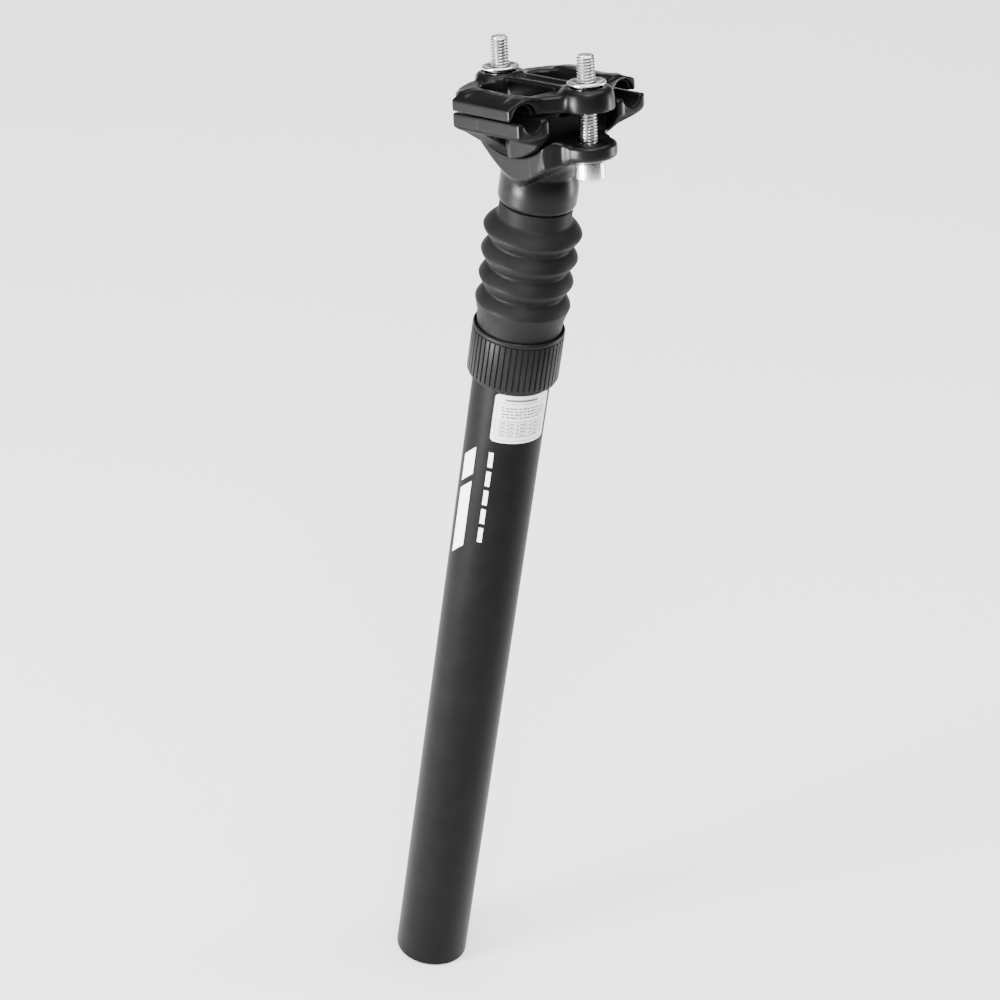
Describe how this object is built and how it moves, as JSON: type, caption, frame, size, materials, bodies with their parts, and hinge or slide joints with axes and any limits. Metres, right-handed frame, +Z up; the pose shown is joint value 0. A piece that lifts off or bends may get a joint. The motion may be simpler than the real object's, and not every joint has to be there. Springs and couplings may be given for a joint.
{
  "type": "suspension seatpost",
  "caption": "Sprung bicycle seatpost: black tube, ribbed collar, rubber bellows and a two-bolt clamp for saddle rails.",
  "frame": {"origin": "centre of the outer tube's lower end", "axes": "+Z up along the tube, +X forward on the bicycle, +Y left"},
  "size_m": [0.0626, 0.0564, 0.3844],
  "materials": {
    "black_anodised": "matte black anodised",
    "black_casting": "semi-gloss black paint",
    "boot_rubber": "matte moulded rubber",
    "seal_rubber": "matte",
    "black_plastic": "matte moulded",
    "white_plastic": "smooth, low friction",
    "bright_steel": "bright zinc plated",
    "spring_steel": "oiled",
    "silver_film": "printed silver film",
    "amber_elastomer": "translucent amber"
  },
  "bodies": {
    "tube": {"outer_tube": "black_anodised", "label": "silver_film", "boot": "boot_rubber", "wiper_seal": "seal_rubber", "upper_bushing": "white_plastic", "key_left": "bright_steel", "key_right": "bright_steel"},
    "collar": {"knurled_collar": "black_plastic"},
    "shaft": {"inner_shaft": "black_anodised", "shaft_sleeve": "white_plastic", "top_out_ring": "seal_rubber", "upper_spring_seat": "black_plastic", "post_head": "black_casting", "swivel_washer_front": "bright_steel", "swivel_washer_rear": "bright_steel"},
    "spring_carrier": {"thrust_washer": "bright_steel", "lower_spring_seat": "black_plastic", "elastomer_rod": "amber_elastomer", "main_spring": "spring_steel"},
    "preload": {"preload_screw": "black_plastic"},
    "cradle": {"lower_cradle": "black_casting"},
    "clamp": {"upper_clamp": "black_casting"},
    "nut_front": {"nut_front": "bright_steel"},
    "nut_rear": {"nut_rear": "bright_steel"},
    "bolt_front": {"bolt_front": "bright_steel"},
    "bolt_rear": {"bolt_rear": "bright_steel"}
  },
  "joints": [
    {"name": "travel", "type": "slide", "parent": "tube", "child": "shaft", "axis": [0, 0, 1], "range_m": [-0.03, 0], "stiffness_N_per_m": 25000, "springref_m": 0.006, "deforming": ["boot", "main_spring"]},
    {"name": "collar_turn", "type": "hinge", "parent": "tube", "child": "collar", "pos_m": [0, 0, 0.268], "axis": [0, 0, 1], "range_deg": [-90, 0]},
    {"name": "preload_lift", "type": "slide", "parent": "tube", "child": "spring_carrier", "axis": [0, 0, 1], "range_m": [-0.0031, 0.0061]},
    {"name": "preload_turn", "type": "hinge", "parent": "spring_carrier", "child": "preload", "pos_m": [0, 0, 0.008], "axis": [0, 0, 1], "range_deg": [-720, 1440]},
    {"name": "saddle_tilt", "type": "hinge", "parent": "shaft", "child": "cradle", "pos_m": [0.0068, 0, 0.3698], "axis": [0, 1, 0], "range_deg": [-6, 6]},
    {"name": "clamp_open", "type": "slide", "parent": "cradle", "child": "clamp", "axis": [0.2588, 0, 0.9659], "range_m": [0, 0.003]},
    {"name": "nut_front_swivel", "type": "hinge", "parent": "clamp", "child": "nut_front", "pos_m": [0.02548, 0, 0.36417], "axis": [0, 1, 0], "range_deg": [-6.1, 6.1]},
    {"name": "nut_rear_swivel", "type": "hinge", "parent": "clamp", "child": "nut_rear", "pos_m": [-0.01461, 0, 0.37491], "axis": [0, 1, 0], "range_deg": [-6.1, 6.1]},
    {"name": "bolt_front_turn", "type": "hinge", "parent": "shaft", "child": "bolt_front", "pos_m": [0.02564, 0, 0.36475], "axis": [0.2588, 0, 0.9659], "range_deg": [-740, 740]},
    {"name": "bolt_rear_turn", "type": "hinge", "parent": "shaft", "child": "bolt_rear", "pos_m": [-0.01445, 0, 0.37549], "axis": [0.2588, 0, 0.9659], "range_deg": [-835, 835]}
  ],
  "couplings": [
    {"joint": "nut_front_swivel", "follows": "saddle_tilt", "ratio": -1},
    {"joint": "nut_rear_swivel", "follows": "saddle_tilt", "ratio": -1},
    {"joint": "bolt_front_turn", "follows": "saddle_tilt", "ratio": 122.52},
    {"joint": "bolt_rear_turn", "follows": "saddle_tilt", "ratio": -138.23},
    {"joint": "preload_lift", "follows": "preload_turn", "m_per_rad": 0.00023873}
  ]
}
